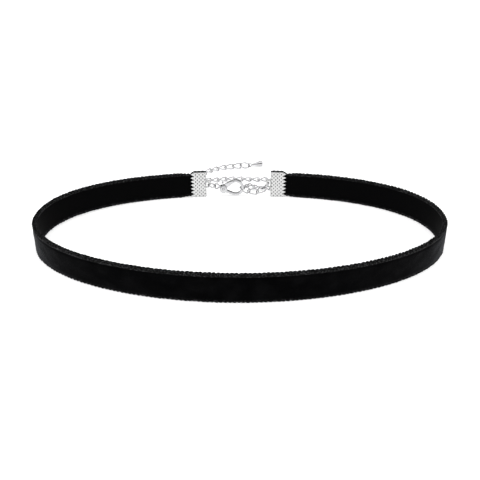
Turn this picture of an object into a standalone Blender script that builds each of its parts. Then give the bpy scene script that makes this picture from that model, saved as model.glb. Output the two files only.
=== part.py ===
"""Velvet ribbon choker standing on its lower edge, fastened, with its extension chain laid behind it.

Metres, +Z up. The origin is the centre of the footprint, on the surface that the choker stands on.
"""

from math import acos, asin, atan2, cos, pi, radians, sin

import bmesh
import bpy
from mathutils import Matrix, Vector

MM = 0.001
SMOOTH_ANGLE = radians(40)

# Ribbon: a velvet band with a thicker woven rim along both edges, pinched thin inside the clamps
RIBBON_WIDTH = 10.75 * MM
RIM_WIDTH = 1.2 * MM
RIM_THICKNESS = 1.8 * MM
RIM_ROUNDING = 0.4 * MM
RIM_ROUNDING_SHARE = 0.6
RIM_STEP_HEIGHT = 0.22 * MM
BODY_THICKNESS = 1.4 * MM
PINCHED_THICKNESS = 0.9 * MM
PINCH_MARGIN = 0.6 * MM
PINCH_RUN = 4.0 * MM
PINCH_STEPS = 4
RIBBON_STEPS = 76
HEADING_SPAN = 0.2 * MM

# Oval that the ribbon's middle follows, seen from above
LOOP_HALF_WIDTH = 73.0 * MM
LOOP_HALF_DEPTH = 38.2 * MM
FRONT_ROUNDNESS = 1.96
BACK_ROUNDNESS = 2.23
LOOP_SAMPLES = 3000
LOOP_ANGLE_SPAN = 0.001
CLOSURE_OFFSET = -0.5 * MM

# Ribbon clamps: a folded sheet with a pressed lattice, a row of teeth, and an eyelet on the fold
CLAMP_OVERHANG = 0.3 * MM
CLAMP_HEIGHT = RIBBON_WIDTH + CLAMP_OVERHANG
CLAMP_LENGTH = 6.3 * MM
CLAMP_SHEET = 0.45 * MM
CLAMP_CLEARANCE = 0.25 * MM
CLAMP_TEETH = 7
TOOTH_DEPTH = 1.0 * MM
LATTICE_COLUMNS = 4
LATTICE_HEIGHT = 0.12 * MM
FOLD_STEPS = 6
RIBBON_END_GAP = 0.6 * MM
EYELET_WIRE = 0.65 * MM
EYELET_REACH = 1.7 * MM
EYELET_HEIGHT = 3.6 * MM
EYELET_CORNER = 0.85 * MM
EYELET_CORNER_STEPS = 3

# Jump rings, by their outer diameter
RING_WIRE = 0.6 * MM
LEFT_RING_DIAMETER = 3.8 * MM
RIGHT_RING_DIAMETER = 3.6 * MM
END_RING_DIAMETER = 4.8 * MM
END_RING_ROLL = radians(10)
RING_STEPS = 16
WIRE_SIDES = 6
METAL_GAP = 0.12 * MM
LEFT_SEAT_DROP = 0.6
RIGHT_SEAT_RISE = 0.5

# Twisted curb chain: every link turns by this much from its middle to each end
LINK_WIRE = 0.55 * MM
LINK_LENGTH = 4.95 * MM
LINK_WIDTH = 2.75 * MM
LINK_PLAY = 0.35 * MM
LINK_TWIST = radians(45)
HOOK_SEAT_GAP = 0.22 * MM
LINK_END_STEPS = 6
CLOSURE_SLOPES = [radians(angle) for angle in (-25.0, -5.0, 28.0)]
HANGING_ROLLS = [radians(angle) for angle in (-28.0, -30.0, -30.0, -15.0)]
END_ROLLS = [radians(angle) for angle in (12.0, 24.0, 36.0)]
TABLE_GAP = 0.04 * MM
ROUTE_STEPS = 40
JOINT_HALVINGS = 30

# Lobster clasp, drawn about the centre of its round end, with x along the necklace and y up
CLASP_RADIUS = 3.45 * MM
CLASP_WALL = 1.1 * MM
CLASP_DEPTH = 1.2 * MM
CLASP_SIDES = 10
CLASP_ARC_STEPS = 14
CLASP_GROUND_GAP = 0.1 * MM
CLASP_DROP = 1.6 * MM
EYE_CENTRE = Vector((-7.75, 0.55)) * MM
EYE_RADIUS = 1.35 * MM
EYE_WALL = 0.62 * MM
NECK_HALF = 0.45 * MM
NECK_OPENING = radians(50)
BOSS_CENTRE = Vector((-4.9, -0.5)) * MM
BOSS_RADIUS = 1.65 * MM
BOSS_DEPTH = 2.6 * MM
BOSS_ROUNDING = 0.35 * MM
BOSS_STEPS = 20
ARM_ROOT = Vector((-4.8, -1.15)) * MM
HOOK_TIP_ANGLE = radians(100)
LEVER_PIVOT = Vector((-4.95, -0.15)) * MM
LEVER_DEPTH = 1.0 * MM
LEVER_SIDE_GAP = 0.12 * MM
LEVER_ROOT_RADIUS = 0.85 * MM
LEVER_TIP_HALF = 0.42 * MM
LEVER_BOW = 0.45 * MM
LEVER_BACK_STEPS = 4
LEVER_ROOT_STEPS = 6
NUB_LENGTH = 2.7 * MM
NUB_HALF = 0.42 * MM
NUB_ANGLE = radians(64)
NUB_STEPS = 4
LEVER_TIP_GAP = 0.15 * MM
LEVER_ROUNDING = 0.16 * MM
PIN_RADIUS = 0.4 * MM
PIN_CLEARANCE = 0.1 * MM
PIN_PROUD = 0.12 * MM
PIN_SIDES = 12
CUT_MARGIN = 0.17 * MM

# End drop, turned about its length
DROP_LENGTH = 6.2 * MM
DROP_RADIUS = 1.3 * MM
DROP_SIDES = 14
DROP_EYE_RADIUS = 1.05 * MM
DROP_EYE_WIRE = 0.45 * MM
DROP_NECK_BURY = 0.27 * MM
DROP_HEADING = radians(14)
DROP_COLUMNS = ("along", "radius")
DROP_TABLE = (
    (0.00, 0.16),
    (0.06, 0.32),
    (0.30, 0.42),
    (0.55, 0.66),
    (0.76, 0.94),
    (0.88, 1.00),
    (0.97, 0.86),
    (1.00, 0.55),
)

# Free end of the chain: chosen points of its joints, with y from the closure backwards and z as the lift
# above its resting height
CHAIN_ROUTE = [
    Vector(point) * MM
    for point in (
        (3.6, 3.8, 2.3),
        (5.9, 5.6, 0.9),
        (9.3, 5.9, 0.1),
        (12.8, 5.6, 0.0),
        (15.7, 6.9, 0.0),
        (17.0, 9.8, 0.0),
        (15.8, 12.8, 0.0),
        (12.8, 14.4, 0.0),
        (8.0, 14.3, 0.0),
        (1.2, 15.0, 0.0),
        (-6.0, 14.9, 0.0),
        (-12.0, 13.3, 0.0),
        (-15.1, 14.3, 0.0),
        (-16.6, 17.2, 0.0),
        (-15.8, 20.4, 0.0),
        (-13.6, 23.0, 0.0),
        (-10.6, 25.4, 0.0),
        (-6.6, 26.9, 0.05),
        (-3.0, 27.6, 0.2),
        (2.0, 28.2, 0.45),
    )
]


def wipe_scene():
    for obj in list(bpy.data.objects):
        bpy.data.objects.remove(obj, do_unlink=True)


def make_material(name, colour, roughness, metallic):
    material = bpy.data.materials.new(name)
    material.use_nodes = True
    shader = material.node_tree.nodes["Principled BSDF"]
    shader.inputs["Base Color"].default_value = (*colour, 1.0)
    shader.inputs["Roughness"].default_value = roughness
    shader.inputs["Metallic"].default_value = metallic
    material.diffuse_color = (*colour, 1.0)
    return material


def add_object(name, mesh, material, matrix, parent):
    obj = bpy.data.objects.new(name, mesh)
    bpy.context.scene.collection.objects.link(obj)
    if not mesh.materials:
        mesh.materials.append(material)
    obj.matrix_world = matrix
    obj.parent = parent
    return obj


def finish_mesh(bm, name):
    bmesh.ops.recalc_face_normals(bm, faces=bm.faces)
    mesh = bpy.data.meshes.new(name)
    bm.to_mesh(mesh)
    bm.free()
    mesh.shade_smooth()
    mesh.set_sharp_from_angle(angle=SMOOTH_ANGLE)
    return mesh


def hide_tool(obj):
    obj.hide_render = True
    obj.display_type = "WIRE"


def add_boolean(obj, tool, operation):
    hide_tool(tool)
    modifier = obj.modifiers.new(f"{operation.lower()} {tool.name}", "BOOLEAN")
    modifier.operation = operation
    modifier.object = tool
    modifier.solver = "EXACT"


def frame_matrix(origin, x_axis, y_axis):
    """Matrix whose local x and y run along the two given directions."""
    x_axis = x_axis.normalized()
    z_axis = x_axis.cross(y_axis).normalized()
    y_axis = z_axis.cross(x_axis)
    matrix = Matrix((x_axis, y_axis, z_axis)).transposed().to_4x4()
    matrix.translation = origin
    return matrix


def skin_rings(bm, rings, closed):
    """Joins rings of points into a tube, with flat ends where it isn't closed on itself."""
    loops = [[bm.verts.new(point) for point in ring] for ring in rings]
    count = len(loops[0])
    pairs = list(zip(loops, loops[1:]))
    if closed:
        pairs.append((loops[-1], loops[0]))
    for first, second in pairs:
        for i in range(count):
            j = (i + 1) % count
            bm.faces.new((first[i], first[j], second[j], second[i]))
    if not closed:
        bm.faces.new(loops[0])
        bm.faces.new(loops[-1])


def ellipse(count, half_a, half_b):
    turns = [2 * pi * (i + 0.5) / count for i in range(count)]
    return [(half_a * cos(turn), half_b * sin(turn)) for turn in turns]


def wire_rings(points, closed, wire, sides):
    """Round sections along points that lie near one plane or twist slowly."""
    rings = []
    last = len(points) - 1
    for i, point in enumerate(points):
        before = points[i - 1] if closed or i > 0 else point
        after = points[(i + 1) % len(points)] if closed or i < last else point
        along = (after - before).normalized()
        side = point if closed else Vector((0, 1, 0))
        side = (side - along * side.dot(along)).normalized()
        up = along.cross(side)
        section = ellipse(sides, wire / 2, wire / 2)
        rings.append([point + side * a + up * b for a, b in section])
    return rings


def torus_mesh(name, centre_radius, wire, steps, sides):
    bm = bmesh.new()
    turns = [2 * pi * i / steps for i in range(steps)]
    points = [Vector((cos(turn), sin(turn), 0)) * centre_radius for turn in turns]
    skin_rings(bm, wire_rings(points, True, wire, sides), True)
    return finish_mesh(bm, name)


def prism_mesh(name, outline, depth, rounding):
    """Outline in the local XZ plane, thickened along Y, with its long edges rounded off."""
    bm = bmesh.new()
    rings = [[Vector((p[0], y, p[1])) for p in outline] for y in (-depth / 2, depth / 2)]
    skin_rings(bm, rings, False)
    if rounding > 0:
        rims = [edge for edge in bm.edges if abs(edge.verts[0].co.y - edge.verts[1].co.y) < depth / 2]
        bmesh.ops.bevel(bm, geom=rims, offset=rounding, segments=1, affect="EDGES", clamp_overlap=True)
    return finish_mesh(bm, name)


def circle_outline(centre, radius, count):
    return [centre + Vector(point) for point in ellipse(count, radius, radius)]


# Ribbon

def loop_point(angle):
    """Point of the oval at an angle, with its own roundness in front and behind."""
    c, s = cos(angle), sin(angle)
    power = 2 / (BACK_ROUNDNESS if s > 0 else FRONT_ROUNDNESS)
    x = LOOP_HALF_WIDTH * abs(c) ** power
    y = LOOP_HALF_DEPTH * abs(s) ** power
    return Vector((x if c > 0 else -x, y if s > 0 else -y, 0))


def back_angle(x):
    """Angle at which the back of the oval passes x."""
    share = (abs(x) / LOOP_HALF_WIDTH) ** (BACK_ROUNDNESS / 2)
    return acos(share) if x > 0 else pi - acos(share)


def loop_tangent(angle):
    return (loop_point(angle + LOOP_ANGLE_SPAN) - loop_point(angle - LOOP_ANGLE_SPAN)).normalized()


def ribbon_profile(half_scale):
    """Section as pairs of outward offset and height, thinned to half_scale where it is pinched."""
    rim = min(RIM_THICKNESS / 2, half_scale)
    body = min(BODY_THICKNESS / 2, half_scale)
    rounding = min(RIM_ROUNDING, rim * RIM_ROUNDING_SHARE)
    lower = [
        (rim - rounding, 0.0),
        (rim, rounding),
        (rim, RIM_WIDTH - RIM_STEP_HEIGHT),
        (body, RIM_WIDTH),
    ]
    upper = [(offset, RIBBON_WIDTH - height) for offset, height in reversed(lower)]
    outer = lower + upper
    inner = [(-offset, height) for offset, height in reversed(outer)]
    return outer + inner


def ribbon_half_at(distance, pinched_length):
    """Half the thickness that the ribbon may have at a distance from its nearer end."""
    ease = min(max((distance - pinched_length) / PINCH_RUN, 0.0), 1.0)
    ease = ease * ease * (3 - 2 * ease)
    return PINCHED_THICKNESS / 2 + (RIM_THICKNESS - PINCHED_THICKNESS) / 2 * ease


def make_ribbon(right_fold_x, left_fold_x, material, parent):
    start = back_angle(right_fold_x + CLAMP_SHEET + RIBBON_END_GAP)
    finish = back_angle(left_fold_x - CLAMP_SHEET - RIBBON_END_GAP) - 2 * pi
    angles = [start + (finish - start) * i / LOOP_SAMPLES for i in range(LOOP_SAMPLES + 1)]
    samples = [loop_point(angle) for angle in angles]
    reached = [0.0]
    for before, after in zip(samples, samples[1:]):
        reached.append(reached[-1] + (after - before).length)
    length = reached[-1]

    def point_at(distance):
        low, high = 0, LOOP_SAMPLES
        while high - low > 1:
            middle = (low + high) // 2
            if reached[middle] <= distance:
                low = middle
            else:
                high = middle
        share = (distance - reached[low]) / (reached[high] - reached[low])
        return samples[low].lerp(samples[high], share)

    pinched_length = CLAMP_LENGTH + PINCH_MARGIN - CLAMP_SHEET - RIBBON_END_GAP
    entry = [0.0] + [pinched_length + PINCH_RUN * i / PINCH_STEPS for i in range(PINCH_STEPS)]
    free_start = pinched_length + PINCH_RUN
    free_length = length - 2 * free_start
    middle = [free_start + free_length * i / RIBBON_STEPS for i in range(RIBBON_STEPS + 1)]
    distances = entry + middle + [length - distance for distance in reversed(entry)]
    rings = []
    for distance in distances:
        ahead = point_at(min(distance + HEADING_SPAN, length))
        behind = point_at(max(distance - HEADING_SPAN, 0.0))
        along = (ahead - behind).normalized()
        outward = Vector((-along.y, along.x, 0))
        profile = ribbon_profile(ribbon_half_at(min(distance, length - distance), pinched_length))
        centre = point_at(distance)
        rings.append([centre + outward * offset + Vector((0, 0, height)) for offset, height in profile])
    bm = bmesh.new()
    skin_rings(bm, rings, False)
    add_object("velvet_ribbon", finish_mesh(bm, "velvet_ribbon"), material, Matrix(), parent)


# Ribbon clamps

def clamp_strip():
    """Outer and inner points of the folded sheet in plan, from one toothed end round to the other.

    The fold's outer edge is at x 0 and the ribbon goes off towards negative x.
    """
    inner_half = PINCHED_THICKNESS / 2 + CLAMP_CLEARANCE
    outer_half = inner_half + CLAMP_SHEET
    plate_end = -(CLAMP_LENGTH - TOOTH_DEPTH)
    plate_start = -outer_half
    strip = []
    for i in range(LATTICE_COLUMNS + 1):
        x = plate_end + (plate_start - plate_end) * i / LATTICE_COLUMNS
        strip.append((Vector((x, outer_half)), Vector((x, inner_half))))
    for i in range(1, FOLD_STEPS):
        turn = pi / 2 - pi * i / FOLD_STEPS
        spoke = Vector((cos(turn), sin(turn)))
        centre = Vector((plate_start, 0))
        strip.append((centre + spoke * outer_half, centre + spoke * inner_half))
    for outer, inner in reversed(strip[:LATTICE_COLUMNS + 1]):
        strip.append((Vector((outer.x, -outer.y)), Vector((inner.x, -inner.y))))
    return strip


def clamp_mesh(name):
    strip = clamp_strip()
    rows = CLAMP_TEETH
    bm = bmesh.new()
    sheets = []
    for surface in range(2):
        columns = []
        for pair in strip:
            spot = pair[surface]
            columns.append([bm.verts.new((spot.x, spot.y, CLAMP_HEIGHT * j / rows)) for j in range(rows + 1)])
        sheets.append(columns)
    outer, inner = sheets
    lattice = []
    last = len(strip) - 1
    for i in range(last):
        for j in range(rows):
            face = bm.faces.new((outer[i][j], outer[i + 1][j], outer[i + 1][j + 1], outer[i][j + 1]))
            bm.faces.new((inner[i][j], inner[i][j + 1], inner[i + 1][j + 1], inner[i + 1][j]))
            if i < LATTICE_COLUMNS or i >= last - LATTICE_COLUMNS:
                lattice.append(face)
        for j in (0, rows):
            bm.faces.new((outer[i][j], outer[i + 1][j], inner[i + 1][j], inner[i][j]))
    for end in (0, last):
        for j in range(rows):
            height = CLAMP_HEIGHT * (j + 0.5) / rows
            tips = []
            for columns in sheets:
                root = columns[end][j].co
                tips.append(bm.verts.new((root.x - TOOTH_DEPTH, root.y, height)))
            bm.faces.new((outer[end][j], outer[end][j + 1], tips[0]))
            bm.faces.new((inner[end][j], inner[end][j + 1], tips[1]))
            for level in (j, j + 1):
                bm.faces.new((outer[end][level], inner[end][level], tips[1], tips[0]))
    bmesh.ops.recalc_face_normals(bm, faces=bm.faces)
    bmesh.ops.poke(bm, faces=lattice, offset=LATTICE_HEIGHT, center_mode="MEAN")
    return finish_mesh(bm, name)


def eyelet_mesh(name):
    """D-shaped wire that stands out of the fold, with both feet buried in the sheet."""
    foot = -CLAMP_SHEET / 2
    top = EYELET_HEIGHT / 2 - EYELET_WIRE / 2
    far = EYELET_REACH - EYELET_WIRE / 2
    half = [Vector((foot, 0, -top)), Vector((far - EYELET_CORNER, 0, -top))]
    for i in range(1, EYELET_CORNER_STEPS + 1):
        turn = -pi / 2 + pi / 2 * i / EYELET_CORNER_STEPS
        centre = Vector((far - EYELET_CORNER, 0, -top + EYELET_CORNER))
        half.append(centre + Vector((cos(turn), 0, sin(turn))) * EYELET_CORNER)
    points = half + [Vector((p.x, 0, -p.z)) for p in reversed(half)]
    bm = bmesh.new()
    skin_rings(bm, wire_rings(points, False, EYELET_WIRE, WIRE_SIDES), False)
    return finish_mesh(bm, name)


def make_clamp(name, fold_x, material, parent):
    """Clamp on the back of the oval, with its fold at fold_x and facing the clasp."""
    towards = 1 if fold_x < 0 else -1
    angle = back_angle(fold_x - towards * CLAMP_LENGTH / 2)
    middle = loop_point(angle)
    along = loop_tangent(angle)
    if along.x * towards < 0:
        along = -along
    fold = middle + along * ((fold_x - middle.x) / along.x)
    matrix = frame_matrix(fold, along, Vector((-along.y, along.x, 0)))
    clamp = add_object(name, clamp_mesh(name), material, matrix, parent)
    lift = Matrix.Translation((0, 0, CLAMP_HEIGHT / 2))
    eyelet = add_object(name + " eyelet", eyelet_mesh(name + " eyelet"), material, matrix @ lift, parent)
    add_boolean(clamp, eyelet, "UNION")
    return fold


# Chain and rings

def ring_radius(diameter):
    return (diameter - RING_WIRE) / 2


def make_ring(name, diameter, matrix, material, parent):
    mesh = torus_mesh(name, ring_radius(diameter), RING_WIRE, RING_STEPS, WIRE_SIDES)
    return add_object(name, mesh, material, matrix, parent)


def link_reach():
    """From a link's middle to the wire's centre at its end."""
    return (LINK_LENGTH - LINK_WIRE) / 2


def link_pitch():
    return LINK_LENGTH - 2 * LINK_WIRE - LINK_PLAY


def link_mesh():
    """Round-ended link whose two ends are turned opposite ways about its length."""
    side = (LINK_WIDTH - LINK_WIRE) / 2
    reach = link_reach()
    flat = []
    for end in (1, -1):
        for i in range(LINK_END_STEPS + 1):
            turn = -pi / 2 + pi * i / LINK_END_STEPS
            flat.append(Vector((end * (reach - side + side * cos(turn)), end * side * sin(turn))))
        flat.append(Vector((0, end * side)))
    points = []
    for spot in flat:
        twist = LINK_TWIST * spot.x / reach
        points.append(Vector((spot.x, spot.y * cos(twist), spot.y * sin(twist))))
    bm = bmesh.new()
    skin_rings(bm, wire_rings(points, True, LINK_WIRE, WIRE_SIDES), True)
    return finish_mesh(bm, "chain_link")


def link_matrix(centre, along, roll):
    level = Vector((0, 0, 1)).cross(along)
    return frame_matrix(centre, along, level) @ Matrix.Rotation(roll, 4, "X")


def smooth_curve(points, steps):
    """Curve through all the points, as short straight steps."""
    ends = [points[0] * 2 - points[1]] + points + [points[-1] * 2 - points[-2]]
    curve = []
    for a, b, c, d in zip(ends, ends[1:], ends[2:], ends[3:]):
        for i in range(steps):
            t = i / steps
            pull = (c - a) * t + (a * 2 - b * 5 + c * 4 - d) * t**2 + (b * 3 - a - c * 3 + d) * t**3
            curve.append(b + pull * 0.5)
    return curve + [points[-1]]


def joints_along(curve, pitch):
    """Points a straight pitch apart, stepped along the curve until it ends."""
    joints = [curve[0]]
    for before, after in zip(curve, curve[1:]):
        if (after - joints[-1]).length >= pitch:
            low, high = 0.0, 1.0
            for _ in range(JOINT_HALVINGS):
                share = (low + high) / 2
                if (before.lerp(after, share) - joints[-1]).length < pitch:
                    low = share
                else:
                    high = share
            joints.append(before.lerp(after, high))
    return joints


# Lobster clasp

def hook_centres():
    """Middle line of the hook: from the boss along the lower arm and round to the tip."""
    radius = CLASP_RADIUS - CLASP_WALL / 2
    leave = atan2(ARM_ROOT.y, ARM_ROOT.x) % (2 * pi) + acos(radius / ARM_ROOT.length)
    finish = 2 * pi + HOOK_TIP_ANGLE
    touch = Vector((cos(leave), sin(leave))) * radius
    points = [ARM_ROOT, ARM_ROOT.lerp(touch, 0.5)]
    for i in range(CLASP_ARC_STEPS + 1):
        turn = leave + (finish - leave) * i / CLASP_ARC_STEPS
        points.append(Vector((cos(turn), sin(turn))) * radius)
    return points


def hook_mesh():
    points = hook_centres()
    to_tip = (points[-1] - LEVER_PIVOT).normalized()
    last = len(points) - 1
    rings = []
    for i, point in enumerate(points):
        along = (points[min(i + 1, last)] - points[max(i - 1, 0)]).normalized()
        if i == last:
            along = -to_tip
        side = Vector((along.y, -along.x))
        section = ellipse(CLASP_SIDES, CLASP_WALL / 2, CLASP_DEPTH / 2)
        rings.append([Vector((point.x + side.x * a, b, point.y + side.y * a)) for a, b in section])
    bm = bmesh.new()
    skin_rings(bm, rings, False)
    return finish_mesh(bm, "hook")


def lever_outline():
    """Lever with a round root, a thumb nub, a bowed back and a blunt tip that faces the hook's tip."""
    tip_middle = hook_centres()[-1]
    to_tip = (tip_middle - LEVER_PIVOT).normalized()
    across = Vector((-to_tip.y, to_tip.x))
    tip = tip_middle - to_tip * LEVER_TIP_GAP
    heading = atan2(to_tip.y, to_tip.x)
    outline = [tip - across * LEVER_TIP_HALF, tip + across * LEVER_TIP_HALF]
    back_start = LEVER_PIVOT + across * LEVER_ROOT_RADIUS + to_tip * NUB_HALF
    for i in range(1, LEVER_BACK_STEPS + 1):
        share = i / LEVER_BACK_STEPS
        chord = outline[1].lerp(back_start, share)
        outline.append(chord + across * LEVER_BOW * sin(pi * share))
    nub = Vector((cos(heading + NUB_ANGLE), sin(heading + NUB_ANGLE)))
    nub_side = Vector((nub.y, -nub.x))
    nub_end = LEVER_PIVOT + nub * (NUB_LENGTH - NUB_HALF)
    for i in range(NUB_STEPS + 1):
        turn = pi * i / NUB_STEPS
        outline.append(nub_end + (nub_side * cos(turn) + nub * sin(turn)) * NUB_HALF)
    root_start = NUB_ANGLE + asin(NUB_HALF / LEVER_ROOT_RADIUS)
    root_end = 3 * pi / 2
    for i in range(LEVER_ROOT_STEPS + 1):
        turn = heading + root_start + (root_end - root_start) * i / LEVER_ROOT_STEPS
        outline.append(LEVER_PIVOT + Vector((cos(turn), sin(turn))) * LEVER_ROOT_RADIUS)
    return outline


def boss_outline():
    """Round boss that narrows to a neck at the eye's wall."""
    neck = Vector((EYE_CENTRE.x + EYE_RADIUS - EYE_WALL / 2, EYE_CENTRE.y))
    to_neck = (neck - BOSS_CENTRE).normalized()
    across = Vector((-to_neck.y, to_neck.x))
    heading = atan2(to_neck.y, to_neck.x)
    outline = [neck - across * NECK_HALF, neck + across * NECK_HALF]
    for i in range(BOSS_STEPS + 1):
        turn = heading + NECK_OPENING + (2 * pi - 2 * NECK_OPENING) * i / BOSS_STEPS
        outline.append(BOSS_CENTRE + Vector((cos(turn), sin(turn))) * BOSS_RADIUS)
    return outline


def make_clasp(origin, material, parent):
    """Body, lever and pin, with the centre of the round end at origin."""
    place = Matrix.Translation(origin)

    def add_piece(name, mesh):
        return add_object(name, mesh, material, place, parent)

    body = add_piece("clasp_body", hook_mesh())
    boss = add_piece("clasp boss", prism_mesh("boss", boss_outline(), BOSS_DEPTH, BOSS_ROUNDING))
    eye_mesh = torus_mesh("eye", EYE_RADIUS - EYE_WALL / 2, EYE_WALL, RING_STEPS, WIRE_SIDES)
    eye_place = Matrix.Translation((EYE_CENTRE.x, 0, EYE_CENTRE.y)) @ Matrix.Rotation(pi / 2, 4, "X")
    eye = add_object("clasp eye", eye_mesh, material, place @ eye_place, parent)

    slot_low = LEVER_PIVOT.y - LEVER_ROOT_RADIUS - LEVER_SIDE_GAP
    slot_left = LEVER_PIVOT.x - LEVER_ROOT_RADIUS - LEVER_SIDE_GAP
    slot_right = BOSS_CENTRE.x + BOSS_RADIUS + CUT_MARGIN
    slot_top = BOSS_CENTRE.y + BOSS_RADIUS + CUT_MARGIN
    slot_outline = [
        Vector((slot_left, slot_low)),
        Vector((slot_right, slot_low)),
        Vector((slot_right, slot_top)),
        Vector((slot_left, slot_top)),
    ]
    slot = add_piece("lever slot", prism_mesh("slot", slot_outline, LEVER_DEPTH + 2 * LEVER_SIDE_GAP, 0))
    bore_outline = circle_outline(LEVER_PIVOT, PIN_RADIUS + PIN_CLEARANCE, PIN_SIDES)
    bore = add_piece("pin bore", prism_mesh("bore", bore_outline, BOSS_DEPTH + 2 * CUT_MARGIN, 0))
    add_boolean(body, boss, "UNION")
    add_boolean(body, eye, "UNION")
    add_boolean(body, slot, "DIFFERENCE")
    add_boolean(body, bore, "DIFFERENCE")

    pivot = Matrix.Translation((LEVER_PIVOT.x, 0, LEVER_PIVOT.y))
    outline = [spot - LEVER_PIVOT for spot in lever_outline()]
    lever_mesh = prism_mesh("clasp_lever", outline, LEVER_DEPTH, LEVER_ROUNDING)
    lever = add_object("clasp_lever", lever_mesh, material, place @ pivot, parent)
    add_boolean(lever, bore, "DIFFERENCE")

    pin_outline = circle_outline(Vector((0, 0)), PIN_RADIUS, PIN_SIDES)
    pin_mesh = prism_mesh("clasp_pin", pin_outline, BOSS_DEPTH + 2 * PIN_PROUD, PIN_PROUD)
    add_object("clasp_pin", pin_mesh, material, place @ pivot, parent)


# End drop

def drop_rows():
    return [dict(zip(DROP_COLUMNS, row)) for row in DROP_TABLE]


def drop_mesh():
    """Turned body along local x, from its narrow neck to its wide end."""
    neck = DROP_EYE_RADIUS - DROP_NECK_BURY
    rings = []
    for row in drop_rows():
        radius = row["radius"] * DROP_RADIUS
        x = neck + row["along"] * (DROP_LENGTH - DROP_EYE_RADIUS)
        rings.append([Vector((x, a, b)) for a, b in ellipse(DROP_SIDES, radius, radius)])
    bm = bmesh.new()
    skin_rings(bm, rings, False)
    return finish_mesh(bm, "end_drop")


def make_drop(eye_centre, heading, material, parent):
    """Drop lying on its wide end, with its eye upright and the end ring's wire through it."""
    belly = max(drop_rows(), key=lambda row: row["radius"])["along"]
    dip = asin((DROP_RADIUS + TABLE_GAP - eye_centre.z) / (DROP_LENGTH * belly))
    place = Matrix.Translation(eye_centre) @ Matrix.Rotation(heading, 4, "Z") @ Matrix.Rotation(-dip, 4, "Y")
    drop = add_object("end_drop", drop_mesh(), material, place, parent)
    eye_mesh = torus_mesh("drop eye", DROP_EYE_RADIUS - DROP_EYE_WIRE / 2, DROP_EYE_WIRE, RING_STEPS, WIRE_SIDES)
    eye = add_object("drop eye", eye_mesh, material, place @ Matrix.Rotation(pi / 2, 4, "X"), parent)
    add_boolean(drop, eye, "UNION")


# Assembly

def make_closure(metal, parent):
    """Lays the clasp, rings and links between the two eyelets and returns where the clamps' folds are.

    Every piece takes up the slack of the one before it, so the gap between the folds follows from them.
    """
    eyelet_z = CLAMP_HEIGHT / 2
    ring_half = RING_WIRE / 2
    link_half = LINK_WIRE / 2
    seat = EYELET_REACH - EYELET_WIRE - METAL_GAP - ring_half
    eyelet_play = EYELET_HEIGHT / 2 - EYELET_WIRE - ring_half - METAL_GAP
    clasp_z = max(eyelet_z - CLASP_DROP, CLASP_RADIUS + CLASP_GROUND_GAP)

    left_radius = ring_radius(LEFT_RING_DIAMETER)
    left_seat = Vector((seat, 0, eyelet_z - eyelet_play * LEFT_SEAT_DROP))
    eye_z = clasp_z + EYE_CENTRE.y
    left_dip = asin((eye_z - left_seat.z) / (2 * left_radius))
    left_along = Vector((cos(left_dip), 0, sin(left_dip)))
    left_centre = left_seat + left_along * left_radius
    eye_seat = left_centre + left_along * left_radius
    eye_x = eye_seat.x + EYE_RADIUS - EYE_WALL - ring_half - METAL_GAP
    clasp = Vector((eye_x - EYE_CENTRE.x, 0, clasp_z))

    apex = Vector((clasp.x + CLASP_RADIUS - CLASP_WALL - HOOK_SEAT_GAP - link_half, 0, clasp_z))
    start = apex + Vector((cos(CLOSURE_SLOPES[0]), 0, sin(CLOSURE_SLOPES[0]))) * (link_reach() - link_pitch() / 2)
    links = []
    for slope in CLOSURE_SLOPES:
        along = Vector((cos(slope), 0, sin(slope)))
        links.append((start + along * link_pitch() / 2, along))
        start = start + along * link_pitch()
    last_centre, last_along = links[-1]
    right_radius = ring_radius(RIGHT_RING_DIAMETER)
    ring_start = last_centre + last_along * (link_reach() - link_half - METAL_GAP - ring_half)
    right_seat_z = eyelet_z + eyelet_play * RIGHT_SEAT_RISE
    rise = asin((right_seat_z - ring_start.z) / (2 * right_radius))
    right_along = Vector((cos(rise), 0, sin(rise)))
    right_centre = ring_start + right_along * right_radius
    right_fold_x = right_centre.x + right_along.x * right_radius + seat

    left_fold_x = CLOSURE_OFFSET - right_fold_x / 2
    depth = loop_point(back_angle(left_fold_x)).y
    shift = Vector((left_fold_x, depth, 0))
    make_ring("jump_ring_left", LEFT_RING_DIAMETER,
              frame_matrix(left_centre + shift, left_along, Vector((0, 1, 0))), metal, parent)
    make_ring("jump_ring_right", RIGHT_RING_DIAMETER,
              frame_matrix(right_centre + shift, right_along, Vector((0, 1, 0))), metal, parent)
    make_clasp(clasp + shift, metal, parent)
    links = [(centre + shift, along) for centre, along in links]
    return left_fold_x, left_fold_x + right_fold_x, links


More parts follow.
